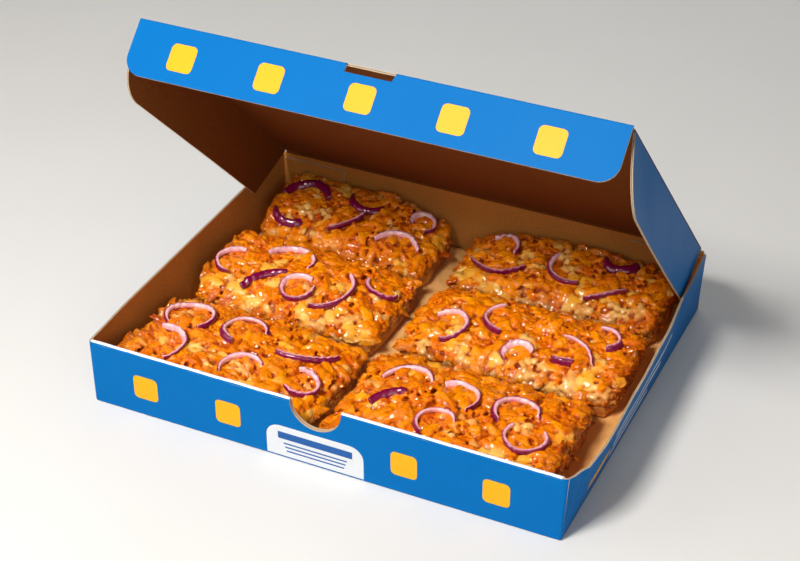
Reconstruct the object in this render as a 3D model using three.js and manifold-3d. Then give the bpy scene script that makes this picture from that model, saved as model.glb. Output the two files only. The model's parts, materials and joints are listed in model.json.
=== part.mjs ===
// A deep-pan pizza, cut in six and lying on paper in its folding box, with the lid half open.
// Millimetres, +Z up, +X across the front of the box and +Y towards the hinge.
// The origin is the middle of the tray's underside.

import * as THREE from 'three';
import { mergeVertices } from 'three/addons/utils/BufferGeometryUtils.js';
import Module from 'manifold-3d';

const wasm = await Module();
wasm.setup();

// ---------- Driving dimensions ----------

const BOX_WIDTH = 340;
const BOX_DEPTH = 278;
const WALL_HEIGHT = 50;
const BOARD = 1.5;          // corrugated board
const GAP = 0.3;            // left between pieces that touch

const ROLLED_WALL = 3.4;    // the front wall is rolled over on itself
const NOTCH_WIDTH = 37;     // thumb notch in the front wall
const NOTCH_DEPTH = 20;
const GLUE_TAB = 54;        // the side walls' ends, glued inside the back wall
const GLUE_TAB_HEIGHT = 46;

const LID_WIDTH = 336;
const LID_LENGTH = 270;
const LID_OPEN = 46.5;      // degrees above level
const FRONT_FLAP = 37.5;
const FRONT_FLAP_CORNER = 13;
const SLOT_WIDTH = 34;      // tuck slot under the lid's front crease
const SLOT_HEIGHT = 4.5;
const SLOT_OFFSET = -2;
const SIDE_FLAP = 46;
const SIDE_FLAP_START = 4.5;    // from the hinge, along the lid
const SIDE_FLAP_END = 262;
const SIDE_FLAP_CORNER = 34;    // round front corner
const SIDE_FLAP_RAKE = 30;      // degrees, the cut at the hinge end
const CREASE = 0.5;             // room that a fold needs

const LINER_THICKNESS = 0.6;
const LINER_MARGIN = 3;         // from the board all round
const CRUST_THICKNESS = 9.5;
const ONION_THICKNESS = 3;
const ONION_HEIGHT = 4;

// The side walls' top edges lean outwards. Each station is how far along the wall it is,
// from the front, and how far out the top edge stands there.
const RIGHT_LEAN = [[0, 2.5], [0.03, 6], [0.07, 10.5], [0.16, 12.2], [0.4, 10.8], [0.6, 9], [0.8, 5], [1, 2.5]];
const LEFT_LEAN = [[0, 1.6], [1, 1.6]];

// How far the lid's side flaps splay outwards, in degrees, at the hinge and at the front.
const LEFT_SPLAY = [0, 10];
const RIGHT_SPLAY = [4.5, 11.9];

// The slices. Edges are measured from the tray's outer front left corner, and heights from
// its underside: the top at the middle, and at the left, right, front and back edges.
const SLICES = {
  back_left: { x: [13.5, 149.5], y: [207, 272], crown: 31, edges: [33, 16, 16, 36] },
  middle_left: { x: [10, 153.5], y: [116, 203], crown: 31, edges: [32, 16, 16, 17] },
  front_left: { x: [9, 156], y: [13, 111], crown: 31, edges: [31, 16, 28, 16] },
  back_right: { x: [165.5, 327], y: [209, 272], crown: 30, edges: [16, 27, 16, 33] },
  middle_right: { x: [166, 328], y: [121, 204], crown: 30, edges: [16, 27, 16, 17] },
  front_right: { x: [162, 321], y: [13, 115], crown: 30, edges: [16, 27, 27, 16] },
};

// The curls of onion on each slice: the centre and radius of the arc that each one follows,
// and the directions, in degrees, in which it starts and ends.
const ONIONS = {
  back_left: [
    [35, 246, 17, 185, 21], [33, 232, 16, 202, 315], [82, 266, 16, 190, 330],
    [43, 256, 43, 303, 349], [128, 258, 9, 204, -60], [122, 219, 18, 168, 31],
  ],
  middle_left: [
    [27, 151, 14, 86, 274], [63, 166, 18, 174, -15], [77, 117, 35, 162, 103],
    [83, 141, 12, 58, 377], [97, 151, 23, -87, 52], [136, 173, 12, 174, 347],
  ],
  front_left: [
    [32, 77, 17, 234, -43], [29, 39, 18, 112, -48], [76, 77, 16, 264, 6],
    [95, 36, 15, 212, 46], [112, 101, 36, 260, 333], [135, 46, 12, 122, -127],
  ],
  back_right: [
    [192, 252, 15, 122, -17], [201, 252, 28, 210, 316], [254, 246, 18, 146, 299],
    [283, 268, 13, 200, 350], [239, 302, 90, -69, -49],
  ],
  middle_right: [
    [196, 148, 15, 138, -85], [235, 168, 17, 119, 272], [255, 135, 10, 214, 31],
    [279, 136, 28, 92, 16], [282, 174, 36, 264, 289], [302, 174, 13, 114, -60],
  ],
  front_right: [
    [199, 75, 18, 176, 24], [209, 40, 23, 166, 99], [237, 69, 16, 136, -40],
    [236, 40, 13, 247, 15], [280, 72, 15, 237, 3], [295, 50, 14, 145, 408],
  ],
};

// ---------- Worked out from those ----------

const HALF_WIDTH = BOX_WIDTH / 2;
const HALF_DEPTH = BOX_DEPTH / 2;
const HINGE_HEIGHT = WALL_HEIGHT + GAP + BOARD / 2;
const LINER_BOTTOM = BOARD + GAP;
const CRUST_BOTTOM = LINER_BOTTOM + LINER_THICKNESS + GAP;
const TOPPING_BOTTOM = CRUST_BOTTOM + CRUST_THICKNESS + GAP;
const TOPPING_LEAST = 1.5;

// ---------- Finishes ----------

const PRINTED_BLUE = new THREE.MeshStandardMaterial({ color: 0x0072c4, roughness: 0.45, metalness: 0 });
const KRAFT = new THREE.MeshStandardMaterial({ color: 0xb98a55, roughness: 0.8, metalness: 0 });
const CRUST = new THREE.MeshStandardMaterial({ color: 0xb9752c, roughness: 0.7, metalness: 0 });
const TOPPING = new THREE.MeshStandardMaterial({ color: 0xe8891c, roughness: 0.5, metalness: 0 });
const RED_ONION = new THREE.MeshStandardMaterial({ color: 0xa8245f, roughness: 0.35, metalness: 0 });

// ---------- Making shapes ----------

const X_AXIS = new THREE.Vector3(1, 0, 0);
const Y_AXIS = new THREE.Vector3(0, 1, 0);
const Z_AXIS = new THREE.Vector3(0, 0, 1);
const ACROSS = new THREE.Matrix4().makeBasis(Y_AXIS, Z_AXIS, X_AXIS);
const UPRIGHT = new THREE.Matrix4().makeBasis(X_AXIS, Z_AXIS, Y_AXIS.clone().negate());

function block(low, high) {
  const size = new THREE.Vector3().subVectors(high, low);
  const middle = new THREE.Vector3().addVectors(low, high).multiplyScalar(0.5);
  return new THREE.BoxGeometry(size.x, size.y, size.z).translate(middle.x, middle.y, middle.z);
}

function bend(geometry, place) {
  const positions = geometry.attributes.position;
  const point = new THREE.Vector3();
  for (let i = 0; i < positions.count; i += 1) {
    point.fromBufferAttribute(positions, i);
    place(point);
    positions.setXYZ(i, point.x, point.y, point.z);
  }
  geometry.computeVertexNormals();
  return geometry;
}

function toSolid(geometry) {
  const bare = geometry.clone();
  bare.deleteAttribute('normal');
  bare.deleteAttribute('uv');
  const merged = mergeVertices(bare);
  return new wasm.Manifold(new wasm.Mesh({
    numProp: 3,
    vertProperties: merged.attributes.position.array,
    triVerts: new Uint32Array(merged.index.array),
  }));
}

function toGeometry(solid) {
  const mesh = solid.getMesh();
  const geometry = new THREE.BufferGeometry();
  geometry.setAttribute('position', new THREE.BufferAttribute(mesh.vertProperties, 3));
  geometry.setIndex(new THREE.BufferAttribute(mesh.triVerts, 1));
  geometry.computeVertexNormals();
  return geometry;
}

function joined(geometries) {
  return geometries.map(toSolid).reduce((whole, solid) => whole.add(solid));
}

function piece(name, geometry, material) {
  const mesh = new THREE.Mesh(geometry, material.clone());
  mesh.name = name;
  return mesh;
}

// ---------- The tray ----------

function leanAt(stations, along) {
  const next = Math.max(1, stations.findIndex(([place]) => place >= along));
  const [start, startLean] = stations[next - 1];
  const [end, endLean] = stations[next];
  return THREE.MathUtils.mapLinear(along, start, end, startLean, endLean);
}

function sideWall(side, stations) {
  const steps = 16;
  const wall = new THREE.BoxGeometry(BOARD, BOX_DEPTH, WALL_HEIGHT, 1, steps, 1);
  return bend(wall, (point) => {
    const along = THREE.MathUtils.clamp(point.y / BOX_DEPTH + 0.5, 0, 1);
    const up = point.z / WALL_HEIGHT + 0.5;
    point.x += side * (HALF_WIDTH - BOARD / 2 + leanAt(stations, along) * up);
    point.z += WALL_HEIGHT / 2;
  });
}

function frontWall() {
  const roll = ROLLED_WALL / 2;
  const section = new THREE.Shape();
  section.moveTo(0, 0);
  section.lineTo(ROLLED_WALL, 0);
  section.lineTo(ROLLED_WALL, WALL_HEIGHT - roll);
  section.absarc(roll, WALL_HEIGHT - roll, roll, 0, Math.PI, false);
  const wall = new THREE.ExtrudeGeometry(section, { depth: BOX_WIDTH, bevelEnabled: false, curveSegments: 4 });
  return wall.applyMatrix4(ACROSS).translate(-HALF_WIDTH, -HALF_DEPTH, 0);
}

function thumbNotch() {
  const radius = NOTCH_WIDTH / 2;
  const above = WALL_HEIGHT + radius;
  const outline = new THREE.Shape();
  outline.moveTo(radius, above);
  outline.lineTo(-radius, above);
  outline.absarc(0, WALL_HEIGHT - NOTCH_DEPTH + radius, radius, Math.PI, Math.PI * 2, false);
  const depth = ROLLED_WALL * 3;
  const cutter = new THREE.ExtrudeGeometry(outline, { depth, bevelEnabled: false, curveSegments: 10 });
  return cutter.applyMatrix4(UPRIGHT).translate(0, depth / 2 - HALF_DEPTH + ROLLED_WALL / 2, 0);
}

function backWall() {
  const inside = HALF_DEPTH - BOARD;
  const low = new THREE.Vector3(-HALF_WIDTH, inside, 0);
  return block(low, new THREE.Vector3(HALF_WIDTH, HALF_DEPTH, WALL_HEIGHT));
}

function glueTab(side) {
  const outer = side * (HALF_WIDTH - BOARD / 2);
  const inner = side * (HALF_WIDTH - GLUE_TAB);
  const low = new THREE.Vector3(Math.min(outer, inner), HALF_DEPTH - BOARD * 2, BOARD / 2);
  return block(low, new THREE.Vector3(Math.max(outer, inner), HALF_DEPTH - BOARD / 2, GLUE_TAB_HEIGHT));
}

function tray() {
  const corner = new THREE.Vector3(-HALF_WIDTH, -HALF_DEPTH, 0);
  const floor = block(corner, new THREE.Vector3(HALF_WIDTH, HALF_DEPTH, BOARD));
  const walls = [frontWall(), backWall(), sideWall(-1, LEFT_LEAN), sideWall(1, RIGHT_LEAN)];
  const whole = joined([floor, ...walls, glueTab(-1), glueTab(1)]);
  return piece('tray', toGeometry(whole.subtract(toSolid(thumbNotch()))), PRINTED_BLUE);
}

function paperLiner() {
  const width = BOX_WIDTH - (BOARD + LINER_MARGIN) * 2;
  const depth = BOX_DEPTH - ROLLED_WALL - BOARD * 2 - LINER_MARGIN * 2;
  const liner = piece('paper_liner', new THREE.BoxGeometry(width, depth, LINER_THICKNESS), KRAFT);
  liner.position.set(0, (ROLLED_WALL - BOARD * 2) / 2, LINER_BOTTOM + LINER_THICKNESS / 2);
  return liner;
}

// ---------- The lid, drawn shut: it runs from the hinge towards the front ----------

function frontFlap() {
  const half = LID_WIDTH / 2;
  const low = -FRONT_FLAP;
  const outline = new THREE.Shape();
  outline.moveTo(half, BOARD / 2);
  outline.lineTo(-half, BOARD / 2);
  outline.absarc(FRONT_FLAP_CORNER - half, low + FRONT_FLAP_CORNER, FRONT_FLAP_CORNER, Math.PI, Math.PI * 1.5, false);
  outline.absarc(half - FRONT_FLAP_CORNER, low + FRONT_FLAP_CORNER, FRONT_FLAP_CORNER, -Math.PI / 2, 0, false);
  const flap = new THREE.ExtrudeGeometry(outline, { depth: BOARD, bevelEnabled: false, curveSegments: 5 });
  return flap.applyMatrix4(UPRIGHT).translate(0, BOARD - LID_LENGTH, 0);
}

function tuckSlot() {
  const start = -LID_LENGTH - BOARD;
  const top = -BOARD / 2;
  const low = new THREE.Vector3(SLOT_OFFSET - SLOT_WIDTH / 2, start, top - SLOT_HEIGHT);
  return block(low, new THREE.Vector3(SLOT_OFFSET + SLOT_WIDTH / 2, start + BOARD * 3, top));
}

function lid() {
  const half = LID_WIDTH / 2;
  const low = new THREE.Vector3(-half, -LID_LENGTH, -BOARD / 2);
  const panel = block(low, new THREE.Vector3(half, -BOARD / 2, BOARD / 2));
  const whole = joined([panel, frontFlap()]).subtract(toSolid(tuckSlot()));
  return piece('lid', toGeometry(whole), PRINTED_BLUE);
}

// The flap is cut flat, x along the lid and y down from it, then turned out about its crease.
function sideFlapOutline() {
  const top = BOARD / 2 + CREASE;
  const rake = Math.tan(THREE.MathUtils.degToRad(SIDE_FLAP_RAKE));
  const rear = SIDE_FLAP_START + SIDE_FLAP * rake;
  const arcStart = SIDE_FLAP_END - SIDE_FLAP_CORNER;
  const steps = 9;
  const outline = new THREE.Shape();
  outline.moveTo(SIDE_FLAP_START, top);
  for (let i = 0; i < steps; i += 1) {
    outline.lineTo(THREE.MathUtils.lerp(rear, arcStart, i / steps), SIDE_FLAP);
  }
  outline.absarc(arcStart, SIDE_FLAP - SIDE_FLAP_CORNER, SIDE_FLAP_CORNER, Math.PI / 2, 0, true);
  for (let i = 0; i < steps; i += 1) {
    outline.lineTo(THREE.MathUtils.lerp(SIDE_FLAP_END, SIDE_FLAP_START, i / steps), top);
  }
  return outline;
}

function sideFlap(name, side, splay) {
  const flap = new THREE.ExtrudeGeometry(sideFlapOutline(), { depth: BOARD, bevelEnabled: false, curveSegments: 5 });
  bend(flap, (point) => {
    const share = (point.x / SIDE_FLAP_END) ** 2;
    const turn = THREE.MathUtils.degToRad(THREE.MathUtils.lerp(splay[0], splay[1], share));
    const out = side > 0 ? point.z - BOARD : -point.z;
    const down = point.y;
    point.set(
      side * (LID_WIDTH / 2 + out * Math.cos(turn) + down * Math.sin(turn)),
      -point.x,
      out * Math.sin(turn) - down * Math.cos(turn),
    );
  });
  return piece(name, flap, PRINTED_BLUE);
}

// ---------- The food, measured from the tray's outer front left corner ----------

function lumps(x, y) {
  const broad = Math.sin(x / 7.3 + y / 11) * Math.cos(y / 6.1 - x / 17);
  const fine = Math.sin(x / 3.9) * Math.cos(y / 4.3);
  return 1.6 * broad + 0.9 * fine;
}

// Height of a slice's top at a place given as shares of its width and depth: it is highest in
// the middle or at the pizza's rim, and drops over a short way towards each edge.
function surfaceHeight(slice, across, along) {
  const steepness = 6;
  const least = TOPPING_BOTTOM + TOPPING_LEAST;
  const rise = slice.crown - least;
  const distances = [across, 1 - across, along, 1 - along];
  const shares = distances.map((distance, i) => {
    const drop = (slice.crown - slice.edges[i]) / rise;
    return 1 - drop * (1 - distance) ** steepness;
  });
  const share = shares.reduce((product, value) => product * value);
  const x = THREE.MathUtils.lerp(slice.x[0], slice.x[1], across);
  const y = THREE.MathUtils.lerp(slice.y[0], slice.y[1], along);
  return least + rise * share + lumps(x, y) * Math.min(1, share);
}

// A slab over the slice's whole outline, with round corners and an uneven edge.
function slab(slice, thickness, stepsAcross, stepsAlong, stepsUp, overhang) {
  const width = slice.x[1] - slice.x[0];
  const depth = slice.y[1] - slice.y[0];
  const rounding = 0.05;
  const shape = new THREE.BoxGeometry(width, depth, thickness, stepsAcross, stepsAlong, stepsUp);
  return bend(shape, (point) => {
    const across = point.x / width;
    const along = point.y / depth;
    const corner = rounding * (2 * across) ** 8 * (2 * along) ** 8;
    const wobble = 0.008 * Math.sin(slice.x[0] + 9 * across + 14 * along);
    const bulge = 1 - corner + wobble + overhang * (0.5 - Math.abs(point.z / thickness));
    point.x *= bulge - overhang / 2;
    point.y *= bulge - overhang / 2;
  });
}

function middleOf(slice) {
  return [(slice.x[0] + slice.x[1]) / 2, (slice.y[0] + slice.y[1]) / 2];
}

function crust(name, slice) {
  const shape = slab(slice, CRUST_THICKNESS, 8, 5, 2, 0.03);
  const base = piece(`crust_${name}`, shape, CRUST);
  base.position.set(...middleOf(slice), CRUST_BOTTOM + CRUST_THICKNESS / 2);
  return base;
}

function topping(name, slice) {
  const shape = slab(slice, TOPPING_LEAST, 13, 8, 1, 0);
  const width = slice.x[1] - slice.x[0];
  const depth = slice.y[1] - slice.y[0];
  bend(shape, (point) => {
    const across = THREE.MathUtils.clamp(point.x / width + 0.5, 0, 1);
    const along = THREE.MathUtils.clamp(point.y / depth + 0.5, 0, 1);
    point.z = point.z < 0 ? TOPPING_BOTTOM : surfaceHeight(slice, across, along);
  });
  const layer = piece(`topping_${name}`, shape, TOPPING);
  layer.position.set(...middleOf(slice), 0);
  return layer;
}

// The height at which something rests on a layer, over a small cross round the place.
function restingHeight(layer, x, y, reach) {
  const down = Z_AXIS.clone().negate();
  const caster = new THREE.Raycaster();
  const heights = [TOPPING_BOTTOM];
  for (const [right, back] of [[0, 0], [1, 0], [-1, 0], [0, 1], [0, -1]]) {
    caster.set(new THREE.Vector3(x + right * reach, y + back * reach, WALL_HEIGHT * 2), down);
    heights.push(...caster.intersectObject(layer).map((hit) => hit.point.z));
  }
  return Math.max(...heights);
}

// A cut strip of onion lying along an arc, on edge, and following the layer below it.
function onion(name, layer, [x, y, radius, start, end]) {
  const sweep = THREE.MathUtils.degToRad(end - start);
  const length = Math.abs(sweep) * radius;
  const steps = Math.max(5, Math.round(length / 5));
  const strip = new THREE.BoxGeometry(length, ONION_THICKNESS, ONION_HEIGHT, steps, 1, 1);
  const heights = new Map();
  bend(strip, (point) => {
    const along = point.x / length + 0.5;
    const angle = THREE.MathUtils.degToRad(start) + sweep * along;
    const step = Math.round(along * steps);
    if (!heights.has(step)) {
      const nearX = x + radius * Math.cos(angle);
      const nearY = y + radius * Math.sin(angle);
      heights.set(step, restingHeight(layer, nearX, nearY, ONION_THICKNESS));
    }
    const out = radius - Math.sign(sweep) * point.y;
    const middle = heights.get(step) + GAP + ONION_HEIGHT / 2;
    point.set(x + out * Math.cos(angle), y + out * Math.sin(angle), middle + point.z);
  });
  return piece(name, strip, RED_ONION);
}

// ---------- Putting it together ----------

const food = new THREE.Group();
food.position.set(-HALF_WIDTH, -HALF_DEPTH, 0);
for (const [name, slice] of Object.entries(SLICES)) {
  const layer = topping(name, slice);
  layer.updateMatrixWorld();
  const curls = ONIONS[name].map((arc, i) => onion(`onion_${name}_${i + 1}`, layer, arc));
  food.add(crust(name, slice), layer, ...curls);
}

const cover = new THREE.Group();
cover.position.set(0, HALF_DEPTH, HINGE_HEIGHT);
cover.rotation.x = -THREE.MathUtils.degToRad(LID_OPEN);
cover.add(lid(), sideFlap('flap_left', -1, LEFT_SPLAY), sideFlap('flap_right', 1, RIGHT_SPLAY));

const group = new THREE.Group();
group.add(tray(), paperLiner(), food, cover);

export default group;
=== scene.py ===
"""A deep-pan pizza, cut in six, on paper in its open folding box.

Metres, in the frame's own axes: +X across the front, +Y towards the hinge, +Z up.
Lengths given in millimetres carry MM.
"""

import json
import math
import random
from itertools import product

import bmesh
import bpy
import numpy as np
from mathutils import Matrix, Vector, noise
from mathutils.kdtree import KDTree


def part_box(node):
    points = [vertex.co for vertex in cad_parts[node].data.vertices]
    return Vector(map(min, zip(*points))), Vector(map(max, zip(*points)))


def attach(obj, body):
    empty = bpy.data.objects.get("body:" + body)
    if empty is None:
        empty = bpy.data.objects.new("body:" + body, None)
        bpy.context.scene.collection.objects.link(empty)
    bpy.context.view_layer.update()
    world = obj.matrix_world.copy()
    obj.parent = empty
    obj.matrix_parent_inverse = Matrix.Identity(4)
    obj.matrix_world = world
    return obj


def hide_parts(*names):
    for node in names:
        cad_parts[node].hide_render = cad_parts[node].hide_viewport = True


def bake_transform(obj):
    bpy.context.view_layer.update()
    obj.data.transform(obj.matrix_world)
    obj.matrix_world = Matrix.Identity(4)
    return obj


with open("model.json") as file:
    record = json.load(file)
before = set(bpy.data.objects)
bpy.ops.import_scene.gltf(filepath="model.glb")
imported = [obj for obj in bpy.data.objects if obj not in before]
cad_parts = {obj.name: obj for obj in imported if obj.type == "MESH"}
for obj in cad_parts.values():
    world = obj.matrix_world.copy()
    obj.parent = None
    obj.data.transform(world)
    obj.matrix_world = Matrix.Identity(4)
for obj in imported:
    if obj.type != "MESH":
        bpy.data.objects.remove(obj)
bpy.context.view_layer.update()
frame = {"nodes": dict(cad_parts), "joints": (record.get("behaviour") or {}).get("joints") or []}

MM = 0.001

# ---------- Driving dimensions ----------

CAMERA_TARGET = Vector((-43.15 * MM, 80.2 * MM, 0))
CAMERA_DISTANCE = 1.4098
CAMERA_AZIMUTH = math.radians(25.294)     # to the right of straight in front
CAMERA_ELEVATION = math.radians(34.099)
CAMERA_ROLL = math.radians(-0.24)
LENS = 84.94                  # millimetres, for a sensor 36 wide
FLOOR_DROP = 0.2 * MM         # the floor lies this far under the box

BOARD = 1.5 * MM
LINER_SHEET = 0.35 * MM       # the board's two outer papers
FLUTE_SHEET = 0.22 * MM       # the wavy paper between them
FLUTE_PITCH = 3.3 * MM
FLUTE_REACH = 2.5 * MM        # how far in from a raw edge the wavy paper is made
FOLD_ROUND = 1.0 * MM         # outside of a crease
CORNER_ROUND = 1.5 * MM       # outside of the tray's upright corners
LID_OPEN = math.radians(46.5)
LID_LENGTH = 270 * MM
FRONT_FLAP = 37.5 * MM
FRONT_FLAP_CORNER = 13 * MM
SLOT_LEFT = -19 * MM
SLOT_RIGHT = 15 * MM
SLOT_HEIGHT = 4.5 * MM
NOTCH_WIDTH = 37 * MM
NOTCH_DEPTH = 20 * MM
ROLLED_WALL = 3.4 * MM
GLUE_TAB = 54 * MM
GLUE_TAB_HEIGHT = 46 * MM
SIDE_FLAP = 46 * MM
SIDE_FLAP_START = 4.5 * MM
SIDE_FLAP_END = 262 * MM
SIDE_FLAP_CORNER = 34 * MM
SIDE_FLAP_RAKE = math.radians(30)
FLAP_ROOT_GAP = 0.28 * MM     # under the lid, so that the flap can turn inwards
LEFT_SPLAY = (0, 10)          # degrees out, at the hinge and at the front
RIGHT_SPLAY = (4.5, 11.9)

# How far a side wall's top leans out, in millimetres, at these shares of the way back.
RIGHT_LEAN = ((0, 2.5), (0.03, 6), (0.07, 10.5), (0.16, 12.2), (0.4, 10.8), (0.6, 9), (0.8, 5), (1, 2.5))
LEFT_LEAN = ((0, 0.5), (0.2, 2), (0.8, 2), (1, 0.5))
SIDE_WALL_CUTS = 48

MARK_SIZE = 18.5 * MM
MARK_CORNER = 3.5 * MM
INK = 0.06 * MM               # the thickness of the printed fields

# Kept free inside the walls, where the shut lid's flaps stand.
FRONT_ROOM = 9.9 * MM
LEFT_ROOM = (5.5 * MM, 13.1 * MM)         # at the front and at the back
RIGHT_ROOM = 7.6 * MM
PAPER_RISE = 2.5 * MM         # the highest crease in the paper
PAPER_SHEET = 0.2 * MM
VOXEL = 0.85 * MM
SLICES = ("back_left", "middle_left", "front_left", "back_right", "middle_right", "front_right")

# Onion curls, in millimetres from the tray's outer front left corner: the centre and radius of
# the arc that each one lies along, and the directions in degrees in which it starts and ends.
ONIONS = {
    "back_left": (
        (35, 246, 17, 185, 21), (33, 232, 16, 202, 315), (82, 266, 16, 190, 330),
        (43, 256, 43, 303, 349), (128, 258, 9, 204, -60), (122, 219, 18, 168, 31),
    ),
    "middle_left": (
        (27, 151, 14, 86, 274), (63, 166, 18, 174, -15), (77, 117, 35, 162, 103),
        (83, 141, 12, 58, 377), (97, 151, 23, -87, 52), (136, 173, 12, 174, 347),
    ),
    "front_left": (
        (32, 77, 17, 234, -43), (29, 39, 18, 112, -48), (76, 77, 16, 264, 6),
        (95, 36, 15, 212, 46), (112, 101, 36, 260, 333), (135, 46, 12, 122, -127),
    ),
    "back_right": (
        (192, 252, 15, 122, -17), (201, 252, 28, 210, 316), (254, 246, 18, 146, 299),
        (283, 268, 13, 200, 350), (239, 302, 90, -69, -49),
    ),
    "middle_right": (
        (196, 148, 15, 138, -85), (235, 168, 17, 119, 272), (255, 135, 10, 214, 31),
        (279, 136, 28, 92, 16), (282, 174, 36, 264, 289), (302, 174, 13, 114, -60),
    ),
    "front_right": (
        (199, 75, 18, 176, 24), (209, 40, 23, 166, 99), (237, 69, 16, 136, -40),
        (236, 40, 13, 247, 15), (280, 72, 15, 237, 3), (295, 50, 14, 145, 408),
    ),
}

# Curls that lie over on their side, with the purple skin upward.
SKIN_UP = (
    ("back_left", 1), ("back_left", 2), ("back_left", 3), ("middle_left", 3),
    ("back_right", 4), ("front_right", 2),
)

# ---------- Places, from the frame ----------

TRAY_LOW, TRAY_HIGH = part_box("tray")
HINGE = Vector(next(j for j in frame["joints"] if j["name"] == "lid_hinge")["pos_m"])
BOX_BACK = HINGE.y
BOX_FRONT = TRAY_LOW.y
WALL_TOP = TRAY_HIGH.z
LID_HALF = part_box("lid")[1].x
HALF_WIDTH = LID_HALF + 2 * MM
TAB_FACE = BOX_BACK - BOARD - 0.1 * MM    # outer face of the tabs glued inside the back wall
LID_ALONG = Vector((0, -math.cos(LID_OPEN), math.sin(LID_OPEN)))
LID_UP = Vector((0, math.sin(LID_OPEN), math.cos(LID_OPEN)))
SLICE_BOXES = {name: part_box(f"topping_{name}") for name in SLICES}
TOPPING_LOW = min(low.z for low, high in SLICE_BOXES.values())


# ---------- Camera, light and floor ----------

def add_camera():
    """Looks down on the box from the front and a little to the right."""
    back = Vector((
        math.sin(CAMERA_AZIMUTH) * math.cos(CAMERA_ELEVATION),
        -math.cos(CAMERA_AZIMUTH) * math.cos(CAMERA_ELEVATION),
        math.sin(CAMERA_ELEVATION),
    ))
    level = (-back).cross(Vector((0, 0, 1))).normalized()
    rise = level.cross(-back)
    right = math.cos(CAMERA_ROLL) * level + math.sin(CAMERA_ROLL) * rise
    up = math.cos(CAMERA_ROLL) * rise - math.sin(CAMERA_ROLL) * level
    camera = link_object("camera", bpy.data.cameras.new("camera"))
    camera.data.sensor_width = 36
    camera.data.lens = LENS
    camera.data.clip_start = 0.01
    placed = Matrix((right, up, back)).transposed().to_4x4()
    placed.translation = CAMERA_TARGET + back * CAMERA_DISTANCE
    camera.matrix_world = placed
    bpy.context.scene.camera = camera


def add_area_light(name, place, aim, size, power, tint=(1, 1, 1)):
    lamp = bpy.data.lights.new(name, "AREA")
    lamp.shape = "RECTANGLE"
    lamp.size, lamp.size_y = size
    lamp.energy = power
    lamp.color = tint
    holder = link_object(name, lamp)
    holder.location = place
    holder.rotation_euler = (Vector(aim) - Vector(place)).to_track_quat("-Z", "Y").to_euler()


def add_lights():
    add_area_light("key", (-0.2, -0.82, 1.12), (0, 0, 0.02), (0.36, 0.36), 20.5, (1, 0.97, 0.93))
    add_area_light("fill", (0.75, -1.05, 0.65), (0, 0, 0.05), (0.9, 0.7), 3.4)
    add_area_light("sheen", (-1.1, -0.8, 0.75), (0, 0, 0.1), (0.8, 0.8), 3.5)
    add_area_light("rim", (-0.2, 1.1, 1.0), (0, 0.1, 0.1), (1.2, 0.5), 3)
    world = bpy.data.worlds.new("studio")
    world.use_nodes = True
    background = world.node_tree.nodes["Background"]
    background.inputs["Color"].default_value = (1, 1, 1, 1)
    background.inputs["Strength"].default_value = 0.16
    bpy.context.scene.world = world
    bpy.context.scene.view_settings.view_transform = "Standard"


def add_floor(material):
    bm = bmesh.new()
    bmesh.ops.create_grid(bm, x_segments=1, y_segments=1, size=6)
    floor = mesh_object("floor", bm, [material])
    floor.location.z = -FLOOR_DROP


# ---------- Making pieces ----------

def link_object(name, data):
    made = bpy.data.objects.new(name, data)
    bpy.context.scene.collection.objects.link(made)
    return made


def mesh_object(name, bm, materials, smooth=False):
    mesh = bpy.data.meshes.new(name)
    bm.to_mesh(mesh)
    bm.free()
    for material in materials:
        mesh.materials.append(material)
    if smooth:
        mesh.shade_smooth()
    return link_object(name, mesh)


def finish_piece(piece, body, slot, *nodes):
    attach(piece, body)
    if nodes:
        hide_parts(*nodes)


def finish_board(body, bm, finishes):
    finish_piece(mesh_object(f"{body}_board", bm, finishes), body, "board", body)


def finish_strip(name, bm, finishes):
    """A bend in the board, made as a piece of its own with its place baked into its points."""
    strip = mesh_object(f"{name}_crease", bm, finishes)
    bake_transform(strip)


def apply_modifiers(piece):
    """Puts what the modifiers make into the piece's own mesh."""
    graph = bpy.context.evaluated_depsgraph_get()
    made = bpy.data.meshes.new_from_object(piece.evaluated_get(graph))
    old = piece.data
    piece.modifiers.clear()
    piece.data = made
    bpy.data.meshes.remove(old)
    made.name = piece.name


def add_attribute(mesh, name, values, kind="FLOAT", key="value"):
    attribute = mesh.attributes.new(name, kind, "POINT")
    attribute.data.foreach_set(key, np.asarray(values, dtype=np.float32).ravel())


def clamped(value):
    return min(1.0, max(0.0, value))


def edge_distance(x, y, low, high):
    """How far a place is from the nearest side of a box seen from above."""
    return min(abs(x - low.x), abs(x - high.x), abs(y - low.y), abs(y - high.y))


def extrude(bm, faces, travel, keep=True):
    """Draws these faces out along a way; returns the faces at its far end."""
    grown = bmesh.ops.extrude_face_region(bm, geom=faces, use_keep_orig=keep)
    verts = [item for item in grown["geom"] if isinstance(item, bmesh.types.BMVert)]
    bmesh.ops.translate(bm, vec=travel, verts=verts)
    return [item for item in grown["geom"] if isinstance(item, bmesh.types.BMFace)]


# ---------- Materials ----------


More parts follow.
